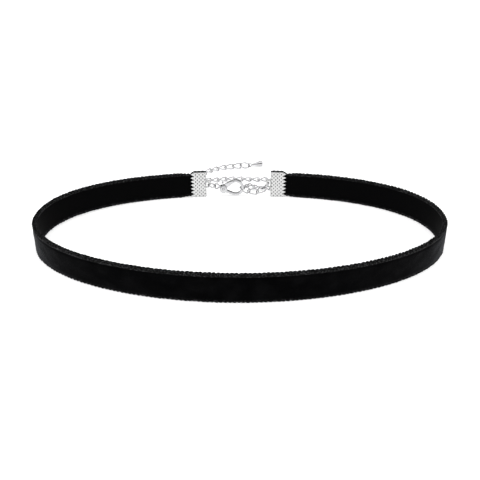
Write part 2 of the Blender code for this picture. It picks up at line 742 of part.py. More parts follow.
def make_free_chain(hooked, mesh, metal, parent, first_number):
    """Links from the hooked link to the end ring, then the ring and the drop."""
    rest = TABLE_GAP - min(vert.co.z for vert in mesh.vertices)
    hooked_matrix = link_matrix(*hooked, LINK_TWIST)
    back_wire = hooked_matrix @ Vector((0, (LINK_WIDTH - LINK_WIRE) / 2, 0))
    closure_y = hooked[0].y
    route = [Vector((point.x, point.y + closure_y, point.z + rest)) for point in CHAIN_ROUTE]
    overhang = link_reach() - link_pitch() / 2
    first = back_wire - (route[0] - back_wire).normalized() * overhang
    joints = joints_along(smooth_curve([first] + route, ROUTE_STEPS), link_pitch())
    count = len(joints) - 1
    rolls = HANGING_ROLLS + [0.0] * (count - len(HANGING_ROLLS) - len(END_ROLLS)) + END_ROLLS
    for i, (before, after, roll) in enumerate(zip(joints, joints[1:], rolls)):
        matrix = link_matrix((before + after) / 2, (after - before).normalized(), roll)
        lowest = min((matrix @ vert.co).z for vert in mesh.vertices)
        matrix = Matrix.Translation((0, 0, max(TABLE_GAP - lowest, 0))) @ matrix
        add_object(f"chain_link_{first_number + i:02d}", mesh, metal, matrix, parent)
    radius = ring_radius(END_RING_DIAMETER)
    inside = matrix @ Vector((link_reach() - LINK_WIRE / 2 - METAL_GAP - RING_WIRE / 2, 0, 0))
    far = inside + Vector((cos(DROP_HEADING), sin(DROP_HEADING), 0)) * 2 * radius
    far.z = DROP_EYE_RADIUS + TABLE_GAP
    ring_along = (far - inside).normalized()
    level = Vector((0, 0, 1)).cross(ring_along)
    matrix = frame_matrix((inside + far) / 2, ring_along, level) @ Matrix.Rotation(END_RING_ROLL, 4, "X")
    make_ring("end_ring", END_RING_DIAMETER, matrix, metal, parent)
    slack = DROP_EYE_RADIUS - DROP_EYE_WIRE - RING_WIRE / 2 - METAL_GAP
    drop_eye = far + Vector((ring_along.x, ring_along.y, 0)) * slack
    make_drop(drop_eye, DROP_HEADING, metal, parent)


def footprint_centre():
    """Middle of the whole choker's box in plan, from the finished shapes."""
    depsgraph = bpy.context.evaluated_depsgraph_get()
    spots = []
    for obj in bpy.data.objects:
        if obj.type == "MESH" and not obj.hide_render:
            shape = obj.evaluated_get(depsgraph)
            spots += [shape.matrix_world @ vert.co for vert in shape.data.vertices]
    xs = [spot.x for spot in spots]
    ys = [spot.y for spot in spots]
    return Vector(((min(xs) + max(xs)) / 2, (min(ys) + max(ys)) / 2, 0))


def build():
    wipe_scene()
    velvet = make_material("velvet", (0.012, 0.012, 0.013), 0.85, 0.0)
    metal = make_material("plated metal", (0.80, 0.80, 0.82), 0.18, 1.0)
    choker = bpy.data.objects.new("choker", None)
    bpy.context.scene.collection.objects.link(choker)

    left_fold_x, right_fold_x, closure = make_closure(metal, choker)
    make_clamp("ribbon_clamp_left", left_fold_x, metal, choker)
    make_clamp("ribbon_clamp_right", right_fold_x, metal, choker)
    make_ribbon(right_fold_x, left_fold_x, velvet, choker)

    mesh = link_mesh()
    for i, (centre, along) in enumerate(reversed(closure)):
        matrix = link_matrix(centre, along, LINK_TWIST)
        add_object(f"chain_link_{i + 1:02d}", mesh, metal, matrix, choker)
    make_free_chain(closure[0], mesh, metal, choker, len(closure) + 1)

    bpy.context.view_layer.update()
    choker.location = -footprint_centre()
    bpy.context.view_layer.update()


build()
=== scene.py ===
import math

import bmesh
import bpy
import numpy as np
from mathutils import Matrix, Vector


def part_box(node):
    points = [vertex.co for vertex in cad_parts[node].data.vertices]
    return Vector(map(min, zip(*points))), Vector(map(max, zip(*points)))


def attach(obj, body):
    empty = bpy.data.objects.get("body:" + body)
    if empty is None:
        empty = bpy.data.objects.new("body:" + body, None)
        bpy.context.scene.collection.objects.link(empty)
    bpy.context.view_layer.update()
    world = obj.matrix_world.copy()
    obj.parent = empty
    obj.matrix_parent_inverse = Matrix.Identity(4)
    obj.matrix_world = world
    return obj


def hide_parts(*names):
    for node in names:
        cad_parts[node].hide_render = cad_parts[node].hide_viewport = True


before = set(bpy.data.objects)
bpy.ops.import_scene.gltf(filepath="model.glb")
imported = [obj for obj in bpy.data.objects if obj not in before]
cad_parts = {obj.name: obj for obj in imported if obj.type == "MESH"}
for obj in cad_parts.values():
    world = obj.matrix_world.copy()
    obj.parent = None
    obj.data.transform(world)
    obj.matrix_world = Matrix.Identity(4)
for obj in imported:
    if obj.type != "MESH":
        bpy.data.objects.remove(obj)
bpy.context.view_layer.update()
bpy.ops.object.select_all(action='DESELECT')
mm = 0.001
print("frame loaded,", len(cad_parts), "nodes")


# where the oval of the ribbon is, in the frame
ribbonLow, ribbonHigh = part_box("velvet_ribbon")
loop = {
    "halfWidth": 73.0 * mm,
    "halfDepth": 38.2 * mm,
    "halfHeight": 5.375 * mm,
    "frontRoundness": 1.96,
    "backRoundness": 2.23,
    "rimHalf": 0.9 * mm,
    "pinchedHalf": 0.45 * mm,
    "pinchedLength": 5.85 * mm,
    "pinchRun": 4.0 * mm,
    "pinchedDrop": 0.06,  # share of the height lost inside the clamps
    "endGap": 1.05 * mm,
    "eyeletReach": 1.7 * mm,
}
loopCentre = Vector(((ribbonLow.x + ribbonHigh.x) / 2, ribbonLow.y + loop["halfDepth"] + loop["rimHalf"], 0))


# camera and light

view = {
    "place": (-0.78 * mm, -220.19 * mm, 127.13 * mm),  # from the middle of the oval
    "down": 29.85,
    "turn": 0.21,
    "focalPixels": 695.94,
    "framePixels": 480,
}


def makeCamera():
    down, turn = math.radians(view["down"]), math.radians(view["turn"])
    ahead = Vector((math.sin(turn) * math.cos(down), math.cos(turn) * math.cos(down), -math.sin(down)))
    right = Vector((math.cos(turn), -math.sin(turn), 0))
    up = right.cross(ahead)
    bpy.ops.object.camera_add()
    camera = bpy.context.object
    camera.name = "photoCamera"
    camera.matrix_world = Matrix((right, up, -ahead)).transposed().to_4x4()
    camera.location = loopCentre + Vector(view["place"])
    camera.data.sensor_width = 36
    camera.data.lens = 36 * view["focalPixels"] / view["framePixels"]
    camera.data.clip_start = 0.005
    camera.data.clip_end = 50
    bpy.context.scene.camera = camera


# shader maths: a wire carries one socket, and sums on it add Math nodes

class Wire:
    def __init__(self, tree, socket=None):
        self.tree = tree
        self.socket = socket

    def node(self, kind, settings, inputs, out=0):
        made = self.tree.nodes.new(kind)
        for key, value in settings.items():
            if key == "stops":
                ramp = made.color_ramp.elements
                for index, (place, shade) in enumerate(value):
                    stop = ramp[index] if index < 2 else ramp.new(place)
                    stop.position = place
                    stop.color = (shade, shade, shade, 1) if isinstance(shade, float) else shade
            else:
                setattr(made, key, value)
        for key, value in inputs.items():
            if isinstance(value, Wire):
                self.tree.links.new(value.socket, made.inputs[key])
            else:
                made.inputs[key].default_value = value
        return Wire(self.tree, made.outputs[out])

    def maths(self, operation, first, second):
        return self.node("ShaderNodeMath", {"operation": operation}, {0: first, 1: second})

    def __add__(self, other):
        return self.maths("ADD", self, other)

    def __radd__(self, other):
        return self.maths("ADD", other, self)

    def __sub__(self, other):
        return self.maths("SUBTRACT", self, other)

    def __rsub__(self, other):
        return self.maths("SUBTRACT", other, self)

    def __mul__(self, other):
        return self.maths("MULTIPLY", self, other)

    def __rmul__(self, other):
        return self.maths("MULTIPLY", other, self)

    def feed(self, shader, name):
        self.tree.links.new(self.socket, shader.inputs[name])


def startMaterial(name, constants):
    material = bpy.data.materials.new(name)
    material.use_nodes = True
    shader = material.node_tree.nodes["Principled BSDF"]
    for key, value in constants.items():
        shader.inputs[key].default_value = value
    return material, Wire(material.node_tree), shader


def noise(wires, coords, scale, detail=2.0, roughness=0.5):
    return wires.node("ShaderNodeTexNoise", {}, {
        "Vector": coords, "Scale": scale, "Detail": detail, "Roughness": roughness})


def blendColours(wires, share, first, second):
    return wires.node("ShaderNodeMix", {"data_type": "RGBA"}, {0: share, 6: first, 7: second}, out=2)


def bumpOn(wires, shader, height, strength, distance):
    bump = wires.node("ShaderNodeBump", {}, {"Height": height, "Strength": strength, "Distance": distance})
    bump.feed(shader, "Normal")


def velvetPile():
    look = {"dark": (0.0002, 0.0002, 0.0003, 1), "pale": (0.0018, 0.0018, 0.0020, 1)}
    material, wires, shader = startMaterial("velvetPile", {
        "Specular IOR Level": 0.02, "Sheen Weight": 0.34, "Sheen Roughness": 0.3,
        "Sheen Tint": (0.55, 0.56, 0.6, 1)})
    coords = wires.node("ShaderNodeTexCoord", {}, {}, out=3)
    nap = noise(wires, coords, 130.0, 3.0, 0.55)  # where the pile has been stroked
    tufts = noise(wires, coords, 2600.0, 2.0, 0.6)
    fibres = noise(wires, coords, 7000.0, 1.0)
    stroked = wires.node("ShaderNodeValToRGB", {"stops": [(0.42, 0.0), (0.64, 1.0)]}, {"Fac": nap})
    blendColours(wires, stroked * 0.7 + tufts * 0.3, look["dark"], look["pale"]).feed(shader, "Base Color")
    (0.97 - stroked * 0.12).feed(shader, "Roughness")
    bumpOn(wires, shader, tufts * 0.6 + fibres * 0.4 + nap * 1.5, 0.6, 0.00018)
    return material


def ribbonBack():
    look = {"dark": (0.0003, 0.0003, 0.0004, 1), "pale": (0.0016, 0.0016, 0.0018, 1)}
    material, wires, shader = startMaterial("ribbonBack", {
        "Specular IOR Level": 0.02, "Sheen Weight": 0.02, "Sheen Roughness": 0.3})
    along = wires.node("ShaderNodeUVMap", {"uv_map": "UVMap"}, {})
    stretched = wires.node("ShaderNodeMapping", {}, {"Vector": along, "Scale": (333.0, 24.0, 1.0)})
    ribs = wires.node("ShaderNodeTexWave", {"wave_type": "BANDS", "bands_direction": "Y"}, {
        "Vector": stretched, "Scale": 0.8, "Distortion": 0.5, "Detail": 1.0})
    threads = wires.node("ShaderNodeTexWave", {"wave_type": "BANDS", "bands_direction": "X"}, {
        "Vector": stretched, "Scale": 0.7, "Distortion": 0.6, "Detail": 1.0})
    weave = ribs * 0.5 + threads * 0.5
    blendColours(wires, weave, look["dark"], look["pale"]).feed(shader, "Base Color")
    (0.78 - weave * 0.18).feed(shader, "Roughness")
    bumpOn(wires, shader, weave, 0.5, 0.00008)
    return material


def selvedgeThread():
    look = {"dark": (0.0006, 0.0006, 0.0007, 1), "pale": (0.030, 0.030, 0.032, 1)}
    material, wires, shader = startMaterial("selvedgeThread", {
        "Specular IOR Level": 0.07, "Sheen Weight": 0.06, "Sheen Roughness": 0.3,
        "Sheen Tint": (0.8, 0.8, 0.82, 1)})
    coords = wires.node("ShaderNodeTexCoord", {}, {}, out=3)
    specks = noise(wires, coords, 1800.0, 2.0, 0.6)
    yarn = noise(wires, coords, 5200.0, 2.0)
    glint = wires.node("ShaderNodeValToRGB", {"stops": [(0.53, 0.0), (0.62, 1.0)]}, {"Fac": specks})
    blendColours(wires, glint, look["dark"], look["pale"]).feed(shader, "Base Color")
    (0.72 - glint * 0.22).feed(shader, "Roughness")
    bumpOn(wires, shader, yarn * 0.6 + specks * 0.4, 0.7, 0.00012)
    return material


def brightPlate():
    look = {"clean": (0.51, 0.51, 0.52, 1), "worn": (0.41, 0.41, 0.42, 1)}
    material, wires, shader = startMaterial("brightPlate", {"Metallic": 1.0})
    coords = wires.node("ShaderNodeTexCoord", {}, {}, out=3)
    clouds = noise(wires, coords, 900.0, 3.0, 0.6)
    grit = noise(wires, coords, 6500.0, 2.0)
    wear = wires.node("ShaderNodeValToRGB", {"stops": [(0.50, 0.0), (0.78, 1.0)]}, {"Fac": clouds})
    blendColours(wires, wear, look["clean"], look["worn"]).feed(shader, "Base Color")
    (0.10 + wear * 0.08 + grit * 0.04).feed(shader, "Roughness")
    bumpOn(wires, shader, clouds * 0.7 + grit * 0.3, 0.12, 0.00006)
    return material


def pressedPlate():
    # the low colour is painted shade, laid into the pressed hollows of the lattice
    look = {"high": (0.59, 0.59, 0.59, 1), "low": (0.05, 0.05, 0.05, 1)}
    material, wires, shader = startMaterial("pressedPlate", {"Metallic": 1.0})
    coords = wires.node("ShaderNodeTexCoord", {}, {}, out=3)
    pressed = wires.node("ShaderNodeAttribute", {"attribute_name": "pressed"}, {}, out=2)
    clouds = noise(wires, coords, 1100.0, 3.0, 0.6)
    grit = noise(wires, coords, 5200.0, 2.0)
    # mask of the hollows, where shade is painted into the plate's colour
    hollowShade = wires.node("ShaderNodeValToRGB", {"stops": [(0.28, 0.0), (0.72, 1.0)]}, {"Fac": pressed})
    blendColours(wires, hollowShade * 0.85 + clouds * 0.12, look["high"], look["low"]).feed(shader, "Base Color")
    (0.2 + hollowShade * 0.22 + clouds * 0.08).feed(shader, "Roughness")
    bumpOn(wires, shader, clouds * 0.5 + grit * 0.5, 0.2, 0.00008)
    return material


def whiteFloor():
    material, wires, shader = startMaterial("whiteFloor", {
        "Specular IOR Level": 0.0, "Roughness": 1.0, "Emission Strength": 1.3})
    coords = wires.node("ShaderNodeTexCoord", {}, {}, out=3)
    # the floor glows like a light table, more where the lamps fade
    away = wires.node("ShaderNodeVectorMath", {"operation": "LENGTH"}, {0: coords}, out=1)
    glow = wires.node("ShaderNodeValToRGB", {"stops": [(0.15, 0.28), (0.7, 1.0)]}, {"Fac": away})
    glow.feed(shader, "Emission Color")
    blendColours(wires, noise(wires, coords, 3.0), (0.93, 0.93, 0.93, 1), (0.95, 0.95, 0.95, 1)).feed(
        shader, "Base Color")
    return material


studio = {
    "floorHalf": 3.0,
    "worldStrength": 1.0,
    # name, place from the middle of the oval, size, watts, all in metres
    "lamps": [
        ("lampOverhead", (0.0, 0.05, 0.75), 1.2, 5.0),
        ("lampLeft", (-0.75, -0.15, 0.36), 0.90, 4.6),
        ("lampRight", (0.75, -0.15, 0.36), 0.90, 4.2),
    ],
}


def makeStudio():
    bpy.ops.mesh.primitive_plane_add(size=2 * studio["floorHalf"])
    floor = bpy.context.object
    floor.name = "studioFloor"
    floor.data.materials.append(whiteFloor())
    for name, place, size, watts in studio["lamps"]:
        bpy.ops.object.light_add(type='AREA', location=loopCentre + Vector(place))
        lamp = bpy.context.object
        lamp.name = name
        lamp.data.shape = 'DISK'
        lamp.data.size = size
        lamp.data.energy = watts
        lamp.rotation_euler = (-Vector(place)).to_track_quat('-Z', 'Y').to_euler()
    world = bpy.data.worlds.new("studioWorld")
    bpy.context.scene.world = world
    world.use_nodes = True
    tree = world.node_tree
    wires = Wire(tree)
    ways = wires.node("ShaderNodeTexCoord", {}, {}, out=0)
    split = wires.node("ShaderNodeSeparateXYZ", {}, {"Vector": ways})
    back = Wire(tree, split.socket.node.outputs[1])
    high = Wire(tree, split.socket.node.outputs[2])
    dim = wires.node("ShaderNodeValToRGB", {"stops": [(0.0, 0.01), (0.45, 0.03), (0.75, 0.14), (1.0, 0.4)]}, {
        "Fac": high * 0.45 - back * 0.55 + 0.55})
    seen = wires.node("ShaderNodeLightPath", {}, {})
    shade = blendColours(wires, seen, dim, (1.0, 1.0, 1.0, 1))
    background = tree.nodes["Background"]
    background.inputs["Strength"].default_value = studio["worldStrength"]
    tree.links.new(shade.socket, background.inputs["Color"])
    bpy.context.scene.view_settings.view_transform = 'Standard'


makeCamera()
makeStudio()
print("camera, floor and lamps set")

pile = velvetPile()
backing = ribbonBack()
thread = selvedgeThread()
plate = brightPlate()
pressed = pressedPlate()


# modelling helpers

def freshStart():
    if bpy.context.mode != 'OBJECT':
        bpy.ops.object.mode_set(mode='OBJECT')
    bpy.ops.object.select_all(action='DESELECT')


def choose(piece, test, kind="verts"):
    # selects what passes the test, in edit mode
    cage = bmesh.from_edit_mesh(piece.data)
    bpy.ops.mesh.select_all(action='DESELECT')
    for part in getattr(cage, kind):
        spot = part.co if kind == "verts" else part.calc_center_median()
        if test(spot):
            part.select_set(True)
    cage.select_flush(True)
    bmesh.update_edit_mesh(piece.data)


def editing(piece):
    bpy.context.view_layer.objects.active = piece
    piece.select_set(True)
    bpy.ops.object.mode_set(mode='EDIT')


def settle(piece):
    # puts the object's own turn and size into its mesh
    bpy.context.view_layer.update()
    piece.data.transform(piece.matrix_world)
    piece.matrix_world = Matrix.Identity(4)


def applyModifiers(piece):
    freshStart()
    bpy.context.view_layer.objects.active = piece
    piece.select_set(True)
    for modifier in list(piece.modifiers):
        bpy.ops.object.modifier_apply(modifier=modifier.name)


def booleanWith(piece, tool, operation):
    modifier = piece.modifiers.new(operation, 'BOOLEAN')
    modifier.operation = operation
    modifier.solver = 'EXACT'
    modifier.object = tool
    applyModifiers(piece)
    bpy.data.objects.remove(tool, do_unlink=True)


def joinInto(piece, others):
    freshStart()
    for other in others:
        other.select_set(True)
    piece.select_set(True)
    bpy.context.view_layer.objects.active = piece
    bpy.ops.object.join()


def smoothShade(piece, degrees=35):
    freshStart()
    bpy.context.view_layer.objects.active = piece
    piece.select_set(True)
    bpy.ops.object.shade_smooth_by_angle(angle=math.radians(degrees))
    piece.select_set(False)


def copyOf(piece, matrix):
    other = piece.copy()
    other.data = piece.data.copy()
    bpy.context.scene.collection.objects.link(other)
    other.data.transform(matrix)
    return other


def finished(piece, name, materials, node, body="root"):
    piece.name = name
    piece.data.name = name
    if materials:
        piece.data.materials.clear()
        for material in materials:
            piece.data.materials.append(material)
    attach(piece, body)
    for stoodFor in ([node] if isinstance(node, str) else node):
        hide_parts(stoodFor)


def nodePoints(node):
    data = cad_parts[node].data
    points = np.zeros(len(data.vertices) * 3, np.float32)
    data.vertices.foreach_get("co", points)
    return points.reshape(-1, 3).astype(float)


def mainWays(points):
    # middle and main directions of a cloud of points, longest first
    middle = points.mean(0)
    ways = np.linalg.svd(points - middle, full_matrices=False)[2]
    return middle, ways


def matrixFrom(middle, xWay, yWay):
    x = Vector(xWay).normalized()
    z = x.cross(Vector(yWay)).normalized()
    y = z.cross(x)
    matrix = Matrix((x, y, z)).transposed().to_4x4()
    matrix.translation = Vector(middle)
    return matrix


# the path that the ribbon follows, clockwise from the right clamp round the front

def ovalPoint(angle):
    c, s = math.cos(angle), math.sin(angle)
    power = 2 / (loop["backRoundness"] if s > 0 else loop["frontRoundness"])
    x = loop["halfWidth"] * abs(c) ** power
    y = loop["halfDepth"] * abs(s) ** power
    return loopCentre.x + (x if c > 0 else -x), loopCentre.y + (y if s > 0 else -y)


def backAngle(x):
    share = (abs(x) / loop["halfWidth"]) ** (loop["backRoundness"] / 2)
    return math.acos(share) if x > 0 else math.pi - math.acos(share)


def clampFrame(node, towards):
    # the clamp's fold line at its foot, x towards the clasp and y across the sheet
    points = nodePoints(node)
    middle = points.mean(0)
    ways = np.linalg.svd((points - middle)[:, :2], full_matrices=False)[2]
    along = ways[0] * (1 if ways[0][0] * towards > 0 else -1)
    across = np.array((-along[1], along[0]))
    reach = (points[:, :2] @ along).max() - loop["eyeletReach"]
    sides = points[:, :2] @ across
    spot = along * reach + across * (sides.min() + sides.max()) / 2
    return matrixFrom((spot[0], spot[1], points[:, 2].min()), (*along, 0), (*across, 0))


leftClampFrame = clampFrame("ribbon_clamp_left", 1)
rightClampFrame = clampFrame("ribbon_clamp_right", -1)
ribbonStart = backAngle(rightClampFrame.translation.x - loopCentre.x + loop["endGap"])
ribbonFinish = backAngle(leftClampFrame.translation.x - loopCentre.x - loop["endGap"]) - 2 * math.pi
pathPoints = np.array([ovalPoint(a) for a in np.linspace(ribbonStart, ribbonFinish, 4001)])
pathReach = np.concatenate(([0.0], np.cumsum(np.linalg.norm(np.diff(pathPoints, axis=0), axis=1))))
pathWays = np.gradient(pathPoints, axis=0)
pathWays /= np.linalg.norm(pathWays, axis=1)[:, None]
ribbonLength = float(pathReach[-1])
print(f"ribbon path {ribbonLength * 1000:.1f} mm long")


def wrapOntoLoop(piece):
    # a straight strip, with x along it and y outwards, goes round the oval and thins inside the clamps
    count = len(piece.data.vertices)
    co = np.zeros(count * 3, np.float32)
    piece.data.vertices.foreach_get("co", co)
    co = co.reshape(-1, 3).astype(float)
    along = np.clip(co[:, 0], 0, ribbonLength)
    ease = (np.minimum(along, ribbonLength - along) - loop["pinchedLength"]) / loop["pinchRun"]
    ease = np.clip(ease, 0, 1)
    ease = ease * ease * (3 - 2 * ease)
    squeeze = (loop["pinchedHalf"] + (loop["rimHalf"] - loop["pinchedHalf"]) * ease) / loop["rimHalf"]
    out = co[:, 1] * squeeze
    co[:, 2] += (loop["halfHeight"] - co[:, 2]) * loop["pinchedDrop"] * (1 - ease)
    x, y = (np.interp(along, pathReach, pathPoints[:, k]) for k in (0, 1))
    wayX, wayY = (np.interp(along, pathReach, pathWays[:, k]) for k in (0, 1))
    size = np.hypot(wayX, wayY)
    co[:, 0] = x - wayY / size * out
    co[:, 1] = y + wayX / size * out
    piece.data.vertices.foreach_set("co", co.astype(np.float32).ravel())
    piece.data.update()


# the velvet band

band = {
    "stations": 760,
    "around": 96,
    # outward offset and height of the section, from the foot of the outer face round to the inner foot
    "section": [
        (0.00, 0.34), (0.20, 0.28), (0.46, 0.24), (0.62, 0.30), (0.68, 0.42), (0.68, 0.58), (0.60, 0.72),
        (0.60, 0.84), (0.72, 1.04), (0.80, 1.50), (0.84, 3.20), (0.86, 5.38), (0.84, 7.15), (0.80, 8.65),
        (0.72, 9.15), (0.60, 9.35), (0.60, 9.49), (0.68, 9.69), (0.70, 10.05), (0.62, 10.30), (0.46, 10.40),
        (0.20, 10.36), (0.00, 10.28), (-0.20, 10.36), (-0.46, 10.40), (-0.62, 10.30), (-0.70, 10.12),
        (-0.68, 9.91), (-0.60, 9.73), (-0.62, 9.55), (-0.68, 9.15), (-0.70, 5.38), (-0.68, 1.60),
        (-0.62, 1.20), (-0.60, 1.02), (-0.68, 0.84), (-0.70, 0.50), (-0.62, 0.30), (-0.46, 0.24), (-0.20, 0.28),
    ],
    "pileReach": (0.78 * mm, 9.42 * mm),  # heights of the grooves, outside and inside
    "backingReach": (1.10 * mm, 9.65 * mm),
    "waves": 0.05 * mm,  # slight hand-made unevenness of the pile face
    "wavesReach": 3.95 * mm,  # up and down from the middle of the face
    # radians a metre along the band, up it, and along it again as a slant
    "longRipple": (410, 900, 130),
    # radians a metre along the band, of its drift, and up it
    "shortRipple": (730, 190, 1300),
}


def makeBand():
    section = np.array(band["section"] + band["section"][:1]) * mm
    walked = np.concatenate(([0.0], np.cumsum(np.linalg.norm(np.diff(section, axis=0), axis=1))))
    freshStart()
    bpy.ops.mesh.primitive_grid_add(x_subdivisions=band["stations"], y_subdivisions=band["around"], size=1)
    piece = bpy.context.object
    count = len(piece.data.vertices)
    co = np.zeros(count * 3, np.float32)
    piece.data.vertices.foreach_get("co", co)
    co = co.reshape(-1, 3).astype(float)
    share, turn = co[:, 0] + 0.5, (co[:, 1] + 0.5) * walked[-1]
    out, high = (np.interp(turn, walked, section[:, k]) for k in (0, 1))
    crown = np.clip(1 - ((high - loop["halfHeight"]) / band["wavesReach"]) ** 2, 0, 1) * (out > 0)
    metres = share * ribbonLength
    along, up, slant = band["longRipple"]
    ripple = np.sin(metres * along) * np.sin(high * up + metres * slant)
    along, drift, up = band["shortRipple"]
    ripple += 0.5 * np.sin(metres * along + 2 * np.sin(metres * drift)) * np.sin(high * up + 1)
    co[:, 0], co[:, 1], co[:, 2] = metres, out + crown * band["waves"] * ripple, high
    piece.data.vertices.foreach_set("co", co.astype(np.float32).ravel())
    editing(piece)
    bpy.ops.mesh.select_all(action='SELECT')
    bpy.ops.mesh.remove_doubles(threshold=0.000001)
    choose(piece, lambda spot: spot.x < 0.000001 or spot.x > ribbonLength - 0.000001)
    bpy.ops.mesh.edge_face_add()
    bpy.ops.mesh.select_all(action='SELECT')
    bpy.ops.mesh.normals_make_consistent(inside=False)
    bpy.ops.object.mode_set(mode='OBJECT')
    for material in (pile, backing, thread):
        piece.data.materials.append(material)
    for face in piece.data.polygons:
        spot = face.center
        low, high = band["pileReach"] if spot.y > 0 else band["backingReach"]
        if low < spot.z < high:
            face.material_index = 0 if spot.y > 0 else 1
        else:
            face.material_index = 2
    wrapOntoLoop(piece)
    smoothShade(piece, 60)
    return piece


selvedge = {
    "pitch": 1.42 * mm,
    "halfLength": 0.80 * mm,
    "halfDeep": 0.38 * mm,
    "slant": 16,
    "offsets": (0.50 * mm, -0.50 * mm),
    "reach": (0.00001, 10.80 * mm),  # lowest and highest that a stitch goes
    "sizeSpread": (0.86, 1.08),
    "shiftSpread": (0.10 * mm, 0.03 * mm, 0.04 * mm),
    # name, height of the row's middle and half height of a stitch
    "rows": [("top", 10.22 * mm, 0.50 * mm), ("bottom", 0.40 * mm, 0.38 * mm)],
}


def makeStitches(name, height, halfHigh):
    dice = np.random.default_rng(7)
    count = int(ribbonLength / selvedge["pitch"]) - 1
    rows = []
    for index, offset in enumerate(selvedge["offsets"]):
        freshStart()
        bpy.ops.mesh.primitive_uv_sphere_add(segments=8, ring_count=6, radius=1)
        stitch = bpy.context.object
        editing(stitch)
        bpy.ops.mesh.select_all(action='SELECT')
        bpy.ops.transform.rotate(value=math.radians(90), orient_axis='Y', center_override=(0, 0, 0))
        bpy.ops.transform.resize(value=(selvedge["halfLength"], selvedge["halfDeep"], halfHigh))
        bpy.ops.transform.rotate(value=math.radians(selvedge["slant"] * (1 - 2 * index)), orient_axis='Z',
                                 center_override=(0, 0, 0))
        bpy.ops.object.mode_set(mode='OBJECT')
        each = len(stitch.data.vertices)
        array = stitch.modifiers.new("row", 'ARRAY')
        array.count = count
        array.use_relative_offset = False
        array.use_constant_offset = True
        array.constant_offset_displace = (selvedge["pitch"], 0, 0)
        applyModifiers(stitch)
        co = np.zeros(len(stitch.data.vertices) * 3, np.float32)
        stitch.data.vertices.foreach_get("co", co)
        co = co.reshape(count, each, 3).astype(float)
        middles = co.mean(1, keepdims=True)
        sizes = dice.uniform(*selvedge["sizeSpread"], (count, 1, 3))
        shifts = dice.uniform(-1, 1, (count, 1, 3)) * np.array(selvedge["shiftSpread"])
        start = selvedge["pitch"] * (0.75 + 0.5 * index)
        co = (co - middles) * sizes + middles + shifts + np.array((start, offset, height))
        co[:, :, 2] = np.clip(co[:, :, 2], *selvedge["reach"])
        stitch.data.vertices.foreach_set("co", co.astype(np.float32).ravel())
        rows.append(stitch)
    joinInto(rows[0], rows[1:])
    wrapOntoLoop(rows[0])
    smoothShade(rows[0], 80)
    finished(rows[0], "selvedge_" + name, [thread], [])
    return rows[0]


bandPiece = makeBand()
finished(bandPiece, "velvet_band", [], "velvet_ribbon")
edges = [makeStitches(*row) for row in selvedge["rows"]]
print("velvet band and its woven edges made")


# the ribbon clamps: a folded pressed sheet with teeth, and an eyelet

clamp = {
    "height": 11.05 * mm,
    "plate": 4.17 * mm,
    "foldRadius": 0.80 * mm,
    "sheet": 0.45 * mm,
    "teeth": 7,
    "tooth": 1.2 * mm,
    "rowsPerTooth": 12,
    "columns": 104,
    "toothRoot": 0.5 * mm,  # solid strip that the teeth are cut from
    "lattice": 0.74 * mm,  # across the sheet, and half a tooth up it
    "latticeStart": 0.45 * mm,
    "press": 0.085 * mm,
    "pressFold": (0.4 * mm, 0.3 * mm),  # where the lattice starts past the fold, and over what run
    "pressEnd": 0.35 * mm,
    "pressRim": 0.25 * mm,
    "bite": 0.24 * mm,
    "biteFrom": 0.6 * mm,  # before the end of the plate
    "biteRun": 1.4 * mm,
    "eyeletWire": 0.65 * mm,
    "eyeletCorner": 0.85 * mm,
    "eyeletHeight": 3.6 * mm,
    "eyeletReach": 1.7 * mm,
}


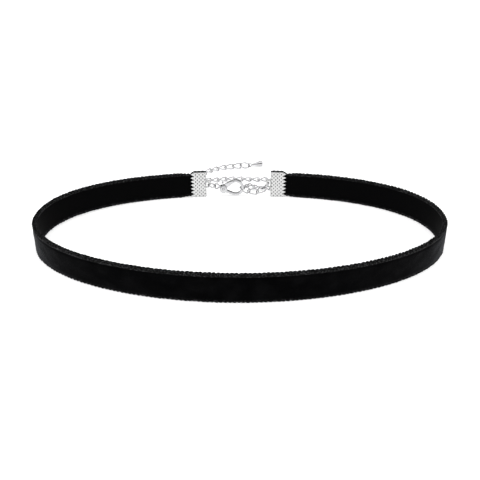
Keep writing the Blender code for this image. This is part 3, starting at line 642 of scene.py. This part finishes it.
def makeClampSheet():
    rows = clamp["teeth"] * clamp["rowsPerTooth"]
    freshStart()
    bpy.ops.mesh.primitive_grid_add(x_subdivisions=clamp["columns"], y_subdivisions=rows, size=1)
    piece = bpy.context.object
    count = len(piece.data.vertices)
    co = np.zeros(count * 3, np.float32)
    piece.data.vertices.foreach_get("co", co)
    co = co.reshape(-1, 3).astype(float)
    radius = clamp["foldRadius"]
    halfFold = math.pi / 2 * radius
    shoulder = halfFold + clamp["plate"] - clamp["toothRoot"]
    longest = halfFold + clamp["plate"] + clamp["tooth"]
    side = np.sign(co[:, 0])
    flat = np.abs(co[:, 0]) * 2 * longest
    high = (co[:, 1] + 0.5) * clamp["height"]
    toothPitch = clamp["height"] / clamp["teeth"]
    zigzag = np.maximum(1.2 - 1.2 * np.abs(2 * ((high / toothPitch) % 1.0) - 1) - 0.2, 0)
    zigzag[np.abs(co[:, 1]) > 0.4999] = 0
    stretch = (clamp["toothRoot"] + zigzag * clamp["tooth"]) / (longest - shoulder)
    flat = np.where(flat > shoulder, shoulder + (flat - shoulder) * stretch, flat)
    # pressed lattice of hollows and bumps, from the fold to the roots of the teeth
    plateWay = flat - halfFold
    cells = np.cos(math.pi * (plateWay - clamp["latticeStart"]) / clamp["lattice"])
    cells *= np.cos(2 * math.pi * high / toothPitch)
    start, run = clamp["pressFold"]
    end, rim = clamp["pressEnd"], clamp["pressRim"]
    fade = np.clip((flat - start) / run, 0, 1)
    fade *= np.clip((clamp["plate"] + end - plateWay) / end, 0, 1)
    fade *= np.clip(high / rim, 0, 1) * np.clip((clamp["height"] - high) / rim, 0, 1)
    sunk = np.clip(-cells, 0, 1) ** 0.8 * fade
    lift = (np.clip(cells, 0, 1) * 0.5 - np.clip(-cells, 0, 1)) * clamp["press"] * fade
    turn = np.minimum(flat, halfFold) / radius
    past = np.maximum(flat - halfFold, 0)
    biteShare = np.clip((past - clamp["plate"] + clamp["biteFrom"]) / clamp["biteRun"], 0, 1)
    bite = biteShare ** 1.5 * clamp["bite"]
    reach = radius + lift - bite
    co[:, 0] = -radius - clamp["sheet"] / 2 + np.cos(turn) * reach - past
    co[:, 1] = side * np.sin(turn) * reach
    co[:, 2] = high
    piece.data.vertices.foreach_set("co", co.astype(np.float32).ravel())
    # depth of the hollows, which the plate's material uses to paint shade into them
    mark = piece.data.attributes.new("pressed", 'FLOAT', 'POINT')
    mark.data.foreach_set("value", sunk.astype(np.float32))
    solid = piece.modifiers.new("wall", 'SOLIDIFY')
    solid.thickness = clamp["sheet"]
    solid.offset = 0
    solid.use_even_offset = True
    applyModifiers(piece)
    editing(piece)
    bpy.ops.mesh.select_all(action='SELECT')
    bpy.ops.mesh.normals_make_consistent(inside=False)
    bpy.ops.object.mode_set(mode='OBJECT')
    return piece


def makeEyelet():
    wire, corner = clamp["eyeletWire"], clamp["eyeletCorner"]
    top = (clamp["eyeletHeight"] - wire) / 2
    far = clamp["eyeletReach"] - wire / 2
    freshStart()
    bpy.ops.mesh.primitive_torus_add(major_segments=48, minor_segments=14, major_radius=corner,
                                     minor_radius=wire / 2)
    piece = bpy.context.object
    piece.data.transform(Matrix.Rotation(math.pi / 2, 4, 'X'))
    editing(piece)
    choose(piece, lambda spot: spot.x < -0.00001, "faces")
    bpy.ops.mesh.delete(type='FACE')
    choose(piece, lambda spot: spot.z > 0)
    bpy.ops.transform.translate(value=(0, 0, top - corner))
    choose(piece, lambda spot: spot.z < 0)
    bpy.ops.transform.translate(value=(0, 0, corner - top))
    bpy.ops.mesh.select_all(action='SELECT')
    bpy.ops.transform.translate(value=(far - corner, 0, 0))
    choose(piece, lambda spot: spot.x < far - corner + 0.00001)
    inwards = -(far - corner) - clamp["sheet"] / 2
    bpy.ops.mesh.extrude_region_move(TRANSFORM_OT_translate={"value": (inwards, 0, 0)})
    bpy.ops.mesh.select_all(action='DESELECT')
    bpy.ops.mesh.select_non_manifold()
    bpy.ops.mesh.fill_holes(sides=0)
    bpy.ops.mesh.select_all(action='SELECT')
    bpy.ops.mesh.normals_make_consistent(inside=False)
    bpy.ops.object.mode_set(mode='OBJECT')
    return piece


clampSheet = makeClampSheet()
eyelet = makeEyelet()
for side, spot in (("left", leftClampFrame), ("right", rightClampFrame)):
    clampPiece = copyOf(clampSheet, spot)
    ringPiece = copyOf(eyelet, spot @ Matrix.Translation((0, 0, clamp["height"] / 2)))
    joinInto(clampPiece, [ringPiece])
    smoothShade(clampPiece, 32)
    finished(clampPiece, "pressed_clamp_" + side, [pressed], "ribbon_clamp_" + side)
bpy.data.objects.remove(clampSheet)
bpy.data.objects.remove(eyelet)
print("clamps made")


# jump rings: round wire with a butted joint

ring = {
    "wire": 0.6 * mm,
    "steps": 88,
    "sides": 16,
    # node, name, outer diameter, angle of the joint round the ring
    "each": [
        ("jump_ring_left", "nickel_ring_left", 3.8 * mm, 100),
        ("jump_ring_right", "nickel_ring_right", 3.6 * mm, 80),
        ("end_ring", "nickel_ring_end", 4.8 * mm, 95),
    ],
}


def makeRing(diameter, jointAngle):
    freshStart()
    bpy.ops.mesh.primitive_torus_add(major_segments=ring["steps"], minor_segments=ring["sides"],
                                     major_radius=(diameter - ring["wire"]) / 2,
                                     minor_radius=ring["wire"] / 2)
    piece = bpy.context.object
    editing(piece)
    gap = 2 * math.pi / ring["steps"]
    choose(piece, lambda spot: 0 < math.atan2(spot.y, spot.x) < gap, "faces")
    bpy.ops.mesh.delete(type='FACE')
    bpy.ops.mesh.select_all(action='DESELECT')
    bpy.ops.mesh.select_non_manifold()
    bpy.ops.mesh.fill_holes(sides=0)
    bpy.ops.mesh.select_all(action='SELECT')
    bpy.ops.mesh.normals_make_consistent(inside=False)
    bpy.ops.object.mode_set(mode='OBJECT')
    piece.data.transform(Matrix.Rotation(math.radians(jointAngle), 4, 'Z'))
    return piece


for node, name, diameter, jointAngle in ring["each"]:
    middle, ways = mainWays(nodePoints(node))
    level = Vector(ways[2]).cross(Vector((0, 0, 1)))
    piece = makeRing(diameter, jointAngle)
    piece.data.transform(matrixFrom(middle, level, Vector(ways[2]).cross(level)))
    smoothShade(piece, 40)
    finished(piece, name, [plate], node)
print("jump rings made")


# chain: one twisted link, copied onto every link of the frame

link = {
    "wire": 0.55 * mm,
    "length": 4.95 * mm,
    "width": 2.75 * mm,
    "waist": 0.35 * mm,  # half length of the middle, where a link's turn is read
    "twist": 90,
    "steps": 40,
    "sides": 12,
}


def makeLink():
    side = (link["width"] - link["wire"]) / 2
    straight = (link["length"] - link["wire"]) / 2 - side
    freshStart()
    bpy.ops.mesh.primitive_torus_add(major_segments=link["steps"], minor_segments=link["sides"],
                                     major_radius=side, minor_radius=link["wire"] / 2)
    piece = bpy.context.object
    editing(piece)
    choose(piece, lambda spot: spot.x > 0.00001)
    bpy.ops.transform.translate(value=(straight, 0, 0))
    choose(piece, lambda spot: spot.x < -0.00001)
    bpy.ops.transform.translate(value=(-straight, 0, 0))
    bpy.ops.mesh.select_all(action='DESELECT')
    # more cuts along the two straight sides, so that they can twist
    cage = bmesh.from_edit_mesh(piece.data)
    for edge in cage.edges:
        a, b = edge.verts[0].co, edge.verts[1].co
        if abs(a.x - b.x) > straight * 0.8:
            edge.select_set(True)
    bmesh.update_edit_mesh(piece.data)
    bpy.ops.mesh.subdivide(number_cuts=4)
    bpy.ops.object.mode_set(mode='OBJECT')
    reach = (link["length"] - link["wire"]) / 2
    for vert in piece.data.vertices:
        turn = math.radians(link["twist"] / 2) * max(-1.0, min(1.0, vert.co.x / reach))
        y, z = vert.co.y, vert.co.z
        vert.co.y = y * math.cos(turn) - z * math.sin(turn)
        vert.co.z = y * math.sin(turn) + z * math.cos(turn)
    smoothShade(piece, 60)
    return piece


chainLink = makeLink()
linkNodes = sorted(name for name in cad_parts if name.startswith("chain_link_"))
for node in linkNodes:
    points = nodePoints(node)
    middle, ways = mainWays(points)
    alongWay = ways[0]
    waist = points[np.abs((points - middle) @ alongWay) < link["waist"]]
    acrossWay = mainWays(waist)[1][0]
    piece = copyOf(chainLink, matrixFrom(middle, alongWay, acrossWay))
    finished(piece, node.replace("chain_link", "curb_link"), [plate], node)
bpy.data.objects.remove(chainLink)
print("chain of", len(linkNodes), "links made")


# lobster clasp, drawn about the middle of its round end, with x along the necklace and z up

pinLow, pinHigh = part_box("clasp_pin")
clasp = {
    "radius": 3.45 * mm,
    "wall": 1.1 * mm,
    "depth": 1.2 * mm,
    "wallRounding": 0.3 * mm,
    "sweepFrom": 100.0,
    "sweepTo": -112.5,
    "armRoot": (-4.8 * mm, -1.15 * mm),
    "eyeCentre": (-7.75 * mm, 0.55 * mm),
    "eyeRadius": 1.35 * mm,
    "eyeWall": 0.62 * mm,
    "bossCentre": (-4.9 * mm, -0.5 * mm),
    "bossRadius": 1.65 * mm,
    "bossDepth": 2.6 * mm,
    "bossRounding": 0.42 * mm,
    "neckDepth": 1.5 * mm,
    "neckHeight": 2.2 * mm,
    "neckTaper": (0.5, 0.42),  # share of the depth and height left at the eye
    "neckRounding": 0.2 * mm,
    "slotMargin": 0.17 * mm,
    "boreReach": 1.4,  # times the boss's depth
    "pivot": (-4.95 * mm, -0.15 * mm),
    "leverDepth": 1.0 * mm,
    "leverGap": 0.12 * mm,
    "leverRoot": 0.85 * mm,
    "leverTipHalf": 0.42 * mm,
    "leverTipGap": 0.15 * mm,
    "leverBow": 0.45 * mm,
    "leverRounding": 0.13 * mm,
    "nubLength": 2.7 * mm,
    "nubHalf": 0.42 * mm,
    "nubAngle": 64,
    "pinRadius": 0.4 * mm,
    "pinGap": 0.1 * mm,
    "pinProud": 0.12 * mm,
    "pinRounding": 0.12 * mm,
}
pivotPlace = (pinLow + pinHigh) / 2
claspPlace = pivotPlace - Vector((clasp["pivot"][0], 0, clasp["pivot"][1]))


def makeHook():
    radius = clasp["radius"] - clasp["wall"] / 2
    sweep = math.radians(clasp["sweepFrom"] - clasp["sweepTo"])
    freshStart()
    # a square on its corner, turned flat and rounded, is the section of the wall
    bpy.ops.mesh.primitive_circle_add(vertices=4, radius=math.sqrt(0.5), fill_type='NGON', location=(0, 0, 0))
    piece = bpy.context.object
    editing(piece)
    bpy.ops.mesh.select_all(action='SELECT')
    bpy.ops.transform.rotate(value=math.radians(45), orient_axis='Z', center_override=(0, 0, 0))
    bpy.ops.transform.resize(value=(clasp["wall"], clasp["depth"], 1), center_override=(0, 0, 0))
    bpy.ops.mesh.bevel(offset=clasp["wallRounding"], segments=5, affect='VERTICES')
    bpy.ops.mesh.select_all(action='SELECT')
    bpy.ops.transform.translate(value=(radius, 0, 0))
    bpy.ops.mesh.spin(steps=64, angle=-sweep, center=(0, 0, 0), axis=(0, 1, 0))
    bpy.ops.object.mode_set(mode='OBJECT')
    # the sweep starts on +x: turn it so that its start is the hook's tip
    piece.data.transform(Matrix.Rotation(-math.radians(clasp["sweepFrom"]), 4, 'Y'))
    end = math.radians(clasp["sweepTo"])
    far = Vector((math.cos(end), 0, math.sin(end))) * radius
    root = Vector((clasp["armRoot"][0], 0, clasp["armRoot"][1]))
    editing(piece)
    choose(piece, lambda spot: abs(spot.x * math.sin(end) - spot.z * math.cos(end)) < 0.00002
           and spot.x * math.cos(end) + spot.z * math.sin(end) > 0)
    for step in range(1, 4):
        bpy.ops.mesh.extrude_region_move(TRANSFORM_OT_translate={"value": (root - far) / 3})
        bpy.ops.transform.resize(value=(1.06, 1.1, 1.06), center_override=far.lerp(root, step / 3))
    bpy.ops.mesh.select_all(action='SELECT')
    bpy.ops.mesh.normals_make_consistent(inside=False)
    bpy.ops.object.mode_set(mode='OBJECT')
    return piece


def makeRod(name, place, radius, depth, vertices, rounding, segments):
    # a round rod across the clasp, with rounded rims
    freshStart()
    bpy.ops.mesh.primitive_cylinder_add(vertices=vertices, radius=radius, depth=depth,
                                        rotation=(math.pi / 2, 0, 0), location=(place[0], 0, place[1]))
    rod = bpy.context.object
    rod.name = name
    settle(rod)
    if rounding:
        bevel = rod.modifiers.new("rims", 'BEVEL')
        bevel.width = rounding
        bevel.segments = segments
        bevel.limit_method = 'ANGLE'
        bevel.angle_limit = math.radians(40)
        applyModifiers(rod)
    return rod


def makeBlock(name, low, high, depth):
    freshStart()
    bpy.ops.mesh.primitive_cube_add(size=1, location=((low[0] + high[0]) / 2, 0, (low[1] + high[1]) / 2),
                                    scale=(high[0] - low[0], depth, high[1] - low[1]))
    block = bpy.context.object
    block.name = name
    settle(block)
    return block


def makeBore():
    return makeRod("bore", clasp["pivot"], clasp["pinRadius"] + clasp["pinGap"],
                   clasp["bossDepth"] * clasp["boreReach"], 32, 0, 0)


def makeClaspBody():
    piece = makeHook()
    boss = makeRod("boss", clasp["bossCentre"], clasp["bossRadius"], clasp["bossDepth"], 56,
                   clasp["bossRounding"], 4)
    booleanWith(piece, boss, 'UNION')
    # a neck from the boss to the wall of the eye
    neckEnd = clasp["eyeCentre"][0] + clasp["eyeRadius"] - clasp["eyeWall"] / 2
    middle = (clasp["bossCentre"][0] + neckEnd) / 2
    freshStart()
    bpy.ops.mesh.primitive_cube_add(size=1)
    neck = bpy.context.object
    editing(neck)
    bpy.ops.mesh.select_all(action='SELECT')
    neckLength = clasp["bossCentre"][0] - neckEnd
    bpy.ops.transform.resize(value=(neckLength, clasp["neckDepth"], clasp["neckHeight"]),
                             center_override=(0, 0, 0))
    bpy.ops.transform.translate(value=(middle, 0, clasp["bossCentre"][1]))
    choose(neck, lambda spot: spot.x < middle)
    bpy.ops.transform.resize(value=(1, *clasp["neckTaper"]),
                             center_override=(neckEnd, 0, clasp["bossCentre"][1]))
    bpy.ops.transform.translate(value=(0, 0, clasp["eyeCentre"][1] - clasp["bossCentre"][1]))
    bpy.ops.object.mode_set(mode='OBJECT')
    bevel = neck.modifiers.new("edges", 'BEVEL')
    bevel.width = clasp["neckRounding"]
    bevel.segments = 3
    applyModifiers(neck)
    booleanWith(piece, neck, 'UNION')
    freshStart()
    bpy.ops.mesh.primitive_torus_add(major_segments=56, minor_segments=16,
                                     major_radius=clasp["eyeRadius"] - clasp["eyeWall"] / 2,
                                     minor_radius=clasp["eyeWall"] / 2,
                                     rotation=(math.pi / 2, 0, 0),
                                     location=(clasp["eyeCentre"][0], 0, clasp["eyeCentre"][1]))
    eye = bpy.context.object
    settle(eye)
    booleanWith(piece, eye, 'UNION')
    gap, root = clasp["leverGap"], clasp["leverRoot"]
    low = (clasp["pivot"][0] - root - gap, clasp["pivot"][1] - root - gap)
    high = (clasp["bossCentre"][0] + clasp["bossRadius"] + clasp["slotMargin"],
            clasp["bossCentre"][1] + clasp["bossRadius"] + clasp["slotMargin"])
    booleanWith(piece, makeBlock("slot", low, high, clasp["leverDepth"] + 2 * gap), 'DIFFERENCE')
    booleanWith(piece, makeBore(), 'DIFFERENCE')
    return piece


def leverOutline():
    # side view: blunt tip, bowed back, thumb nub and round root
    radius = clasp["radius"] - clasp["wall"] / 2
    tipTurn = math.radians(clasp["sweepFrom"])
    tipMiddle = Vector((math.cos(tipTurn), math.sin(tipTurn))) * radius
    pivot = Vector(clasp["pivot"])
    toTip = (tipMiddle - pivot).normalized()
    across = Vector((-toTip.y, toTip.x))
    heading = math.atan2(toTip.y, toTip.x)
    tip = tipMiddle - toTip * clasp["leverTipGap"]
    spots = [tip - across * clasp["leverTipHalf"], tip + across * clasp["leverTipHalf"]]
    backStart = pivot + across * clasp["leverRoot"] + toTip * clasp["nubHalf"]
    for step in range(1, 13):
        share = step / 12
        spots.append(spots[1].lerp(backStart, share) + across * clasp["leverBow"] * math.sin(math.pi * share))
    nubTurn = heading + math.radians(clasp["nubAngle"])
    nub = Vector((math.cos(nubTurn), math.sin(nubTurn)))
    nubSide = Vector((nub.y, -nub.x))
    nubEnd = pivot + nub * (clasp["nubLength"] - clasp["nubHalf"])
    for step in range(9):
        turn = math.pi * step / 8
        spots.append(nubEnd + (nubSide * math.cos(turn) + nub * math.sin(turn)) * clasp["nubHalf"])
    start = math.radians(clasp["nubAngle"]) + math.asin(clasp["nubHalf"] / clasp["leverRoot"])
    for step in range(17):
        turn = heading + start + (1.5 * math.pi - start) * step / 16
        spots.append(pivot + Vector((math.cos(turn), math.sin(turn))) * clasp["leverRoot"])
    return spots


def makeLever():
    spots = leverOutline()
    freshStart()
    bpy.ops.mesh.primitive_circle_add(vertices=len(spots), radius=1, fill_type='NGON')
    piece = bpy.context.object
    for vert, spot in zip(piece.data.vertices, spots):
        vert.co = (spot.x, clasp["leverDepth"] / 2, spot.y)
    editing(piece)
    bpy.ops.mesh.select_all(action='SELECT')
    bpy.ops.mesh.extrude_region_move(TRANSFORM_OT_translate={"value": (0, -clasp["leverDepth"], 0)})
    bpy.ops.mesh.select_all(action='SELECT')
    bpy.ops.mesh.normals_make_consistent(inside=False)
    bpy.ops.object.mode_set(mode='OBJECT')
    bevel = piece.modifiers.new("edges", 'BEVEL')
    bevel.width = clasp["leverRounding"]
    bevel.segments = 3
    bevel.limit_method = 'ANGLE'
    bevel.angle_limit = math.radians(60)
    applyModifiers(piece)
    booleanWith(piece, makeBore(), 'DIFFERENCE')
    return piece


claspBody = makeClaspBody()
claspLever = makeLever()
claspPin = makeRod("pin", clasp["pivot"], clasp["pinRadius"], clasp["bossDepth"] + 2 * clasp["pinProud"], 32,
                   clasp["pinRounding"], 4)
for piece, name, node, body in ((claspBody, "lobster_body", "clasp_body", "root"),
                                (claspLever, "lobster_lever", "clasp_lever", "lever"),
                                (claspPin, "lobster_rivet", "clasp_pin", "root")):
    piece.data.transform(Matrix.Translation(claspPlace))
    smoothShade(piece, 38)
    finished(piece, name, [plate], node, body)
print("lobster clasp made")


# end drop, turned along its length, with its eye

drop = {
    "length": 6.2 * mm,
    "radius": 1.3 * mm,
    "eyeRadius": 1.05 * mm,
    "eyeWire": 0.45 * mm,
    "bury": 0.27 * mm,
    # share of the length and share of the radius
    "profile": [
        (0.00, 0.16), (0.03, 0.26), (0.06, 0.32), (0.12, 0.35), (0.20, 0.38), (0.30, 0.42), (0.42, 0.53),
        (0.55, 0.66), (0.66, 0.80), (0.76, 0.92), (0.83, 0.98), (0.88, 1.00), (0.93, 0.96), (0.97, 0.84),
        (0.99, 0.68), (1.00, 0.45),
    ],
}


def makeDrop():
    neck = drop["eyeRadius"] - drop["bury"]
    body = drop["length"] - drop["eyeRadius"]
    profile = drop["profile"]
    freshStart()
    bpy.ops.mesh.primitive_circle_add(vertices=36, radius=profile[0][1] * drop["radius"], fill_type='NGON',
                                      rotation=(0, math.pi / 2, 0), location=(neck, 0, 0))
    piece = bpy.context.object
    settle(piece)
    editing(piece)
    bpy.ops.mesh.select_all(action='SELECT')
    for (fromShare, fromRadius), (toShare, toRadius) in zip(profile, profile[1:]):
        onwards = (toShare - fromShare) * body
        bpy.ops.mesh.extrude_region_move(TRANSFORM_OT_translate={"value": (onwards, 0, 0)})
        grow = toRadius / fromRadius
        bpy.ops.transform.resize(value=(1, grow, grow))
    bpy.ops.mesh.select_all(action='SELECT')
    bpy.ops.mesh.normals_make_consistent(inside=False)
    bpy.ops.object.mode_set(mode='OBJECT')
    freshStart()
    bpy.ops.mesh.primitive_torus_add(major_segments=48, minor_segments=14,
                                     major_radius=drop["eyeRadius"] - drop["eyeWire"] / 2,
                                     minor_radius=drop["eyeWire"] / 2, rotation=(math.pi / 2, 0, 0))
    eye = bpy.context.object
    settle(eye)
    booleanWith(piece, eye, 'UNION')
    return piece


def dropFrame():
    # the drop's axis from its eye to its wide end, in the frame
    points = nodePoints("end_drop")
    middle, ways = mainWays(points)
    along = Vector(ways[0])
    reach = (points - middle) @ np.array(along)
    if along.x < 0:
        along, reach = -along, -reach
    level = Vector((0, 0, 1)).cross(along)
    upWay = along.cross(level).normalized()
    sideWay = level.normalized()
    heights = (points - middle) @ np.array(upWay)
    sides = (points - middle) @ np.array(sideWay)
    start = Vector(middle) + along * (reach.min() + drop["eyeRadius"])
    start += upWay * (heights.min() + heights.max()) / 2 + sideWay * (sides.min() + sides.max()) / 2
    return matrixFrom(start, along, level)


dropPiece = makeDrop()
dropPiece.data.transform(dropFrame())
smoothShade(dropPiece, 38)
finished(dropPiece, "bell_drop", [plate], "end_drop")
print("end drop made")
